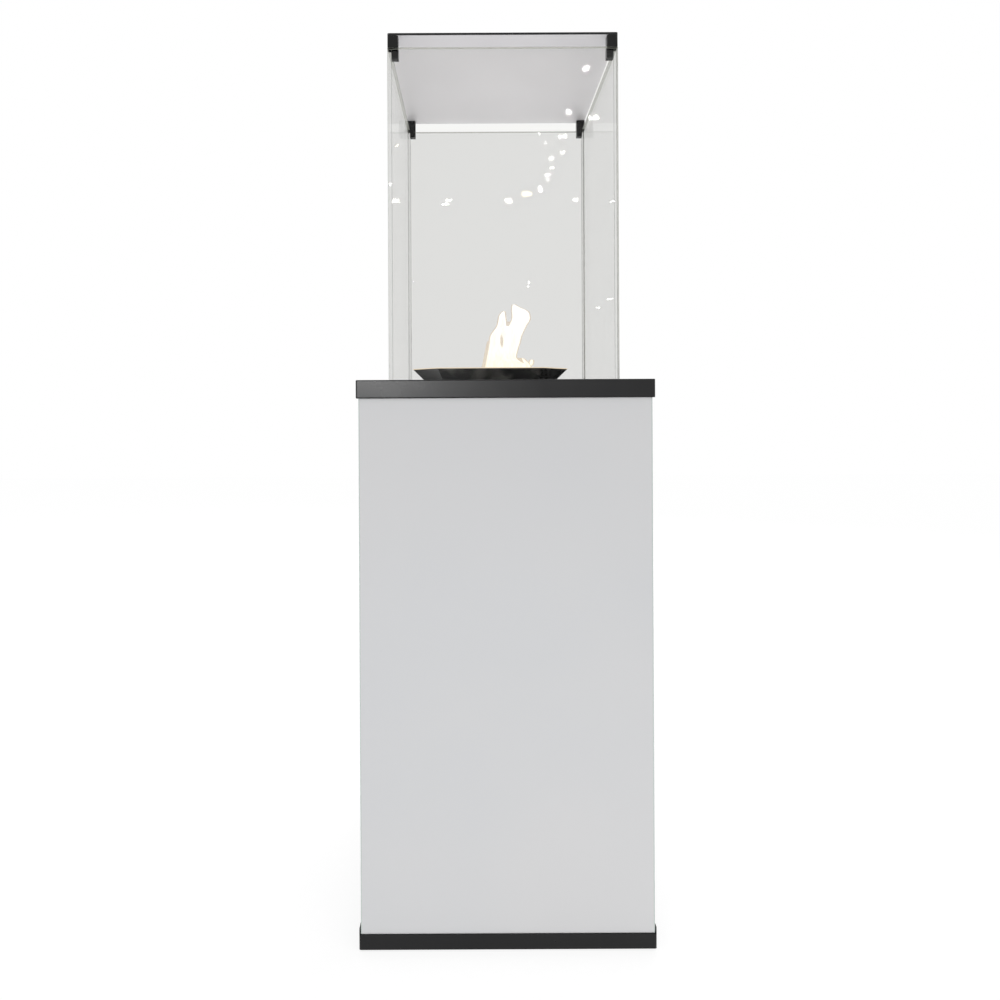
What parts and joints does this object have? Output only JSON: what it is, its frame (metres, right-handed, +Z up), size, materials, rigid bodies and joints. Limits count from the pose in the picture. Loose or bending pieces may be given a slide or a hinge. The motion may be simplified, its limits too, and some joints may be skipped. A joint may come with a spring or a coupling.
{
  "type": "gas fireplace",
  "caption": "Free-standing square patio gas fireplace: pale glass-panelled column with a rear door over the gas cylinder, black top plate, burner tray, clear glass cage and lifted roof plate.",
  "frame": {"origin": "centre of the square footprint, on the floor", "axes": "+Z up; the plain front faces -Y, the door and the controls face +Y, +X is to the right seen from the front"},
  "size_m": [0.485, 0.485, 1.51],
  "materials": {
    "satin_black": "satin powder coat",
    "gloss_black": "gloss enamel",
    "pale_lacquer": "gloss, lacquered on the back",
    "pale_paint": "satin powder coat",
    "cage_glass": "clear, polished edges",
    "roof_steel": "satin",
    "sheet_steel": "zinc plated",
    "burner_steel": "heat tinted stainless",
    "cast_alloy": "cast",
    "zinc_screw": "zinc plated",
    "brass": "turned",
    "copper": "drawn",
    "rubber": "matt",
    "black_plastic": "fine texture",
    "red_plastic": "gloss",
    "ceramic": "glazed",
    "lava": "rough stone",
    "cylinder_paint": "gloss paint"
  },
  "bodies": {
    "column": {"base_plinth": "satin_black", "rubber_feet": "rubber", "foot_screws": "sheet_steel", "front_posts": "sheet_steel", "rear_posts": "sheet_steel", "top_frame": "sheet_steel", "front_panel": "pale_lacquer", "left_panel": "pale_lacquer", "right_panel": "pale_lacquer", "bond_strips": "rubber", "rear_fascia": "pale_lacquer", "fascia_spacers": "sheet_steel", "top_plate": "satin_black", "plate_nuts": "sheet_steel", "glass_channel": "sheet_steel", "glass_gasket": "rubber", "front_pane": "cage_glass", "rear_pane": "cage_glass", "left_pane": "cage_glass", "right_pane": "cage_glass", "corner_connectors": "satin_black", "roof_plate": "roof_steel", "roof_screws": "sheet_steel", "burner_deck": "satin_black", "burner_box": "sheet_steel", "burner_tray": "gloss_black", "burner_head": "burner_steel", "mixing_tube": "burner_steel", "gas_jet": "brass", "jet_block": "brass", "supply_pipe": "cast_alloy", "pilot_bracket": "burner_steel", "pilot_burner": "brass", "pilot_pipe": "cast_alloy", "thermocouple": "burner_steel", "thermocouple_lead": "copper", "spark_electrode": "ceramic", "ignition_lead": "rubber", "lava_stones": "lava", "heat_shield": "sheet_steel", "shield_cleats": "sheet_steel", "control_pocket": "satin_black", "gas_valve": "cast_alloy", "valve_bonnet": "cast_alloy", "valve_screws": "zinc_screw", "valve_fittings": "brass", "igniter_barrel": "black_plastic", "door_hinges": "sheet_steel", "door_catch": "satin_black", "gas_cylinder": "cylinder_paint", "cylinder_valve": "brass", "regulator": "cast_alloy", "gas_hose": "rubber"},
    "door": {"rear_door": "pale_paint", "door_fittings": "sheet_steel"},
    "valve_rotor": {"valve_plug": "brass"},
    "knob": {"control_spindle": "zinc_screw", "control_knob": "black_plastic"},
    "igniter": {"igniter_button": "red_plastic"},
    "wheel": {"handwheel": "red_plastic"}
  },
  "joints": [
    {"name": "door_hinge", "type": "hinge", "parent": "column", "child": "door", "pos_m": [0.223, 0.2335, 0.39], "axis": [0, 0, -1], "range_deg": [0, 110]},
    {"name": "knob_turn", "type": "hinge", "parent": "column", "child": "valve_rotor", "pos_m": [-0.045, 0.1845, 0.825], "axis": [0, 1, 0], "range_deg": [0, 210]},
    {"name": "knob_push", "type": "slide", "parent": "valve_rotor", "child": "knob", "axis": [0, -1, 0], "range_m": [0, 0.004], "stiffness_N_per_m": 800},
    {"name": "igniter_push", "type": "slide", "parent": "column", "child": "igniter", "axis": [0, -1, 0], "range_m": [0, 0.007], "stiffness_N_per_m": 600},
    {"name": "handwheel_turn", "type": "hinge", "parent": "column", "child": "wheel", "pos_m": [0, 0, 0.59], "axis": [0, 0, 1], "range_deg": [0, 720]}
  ]
}
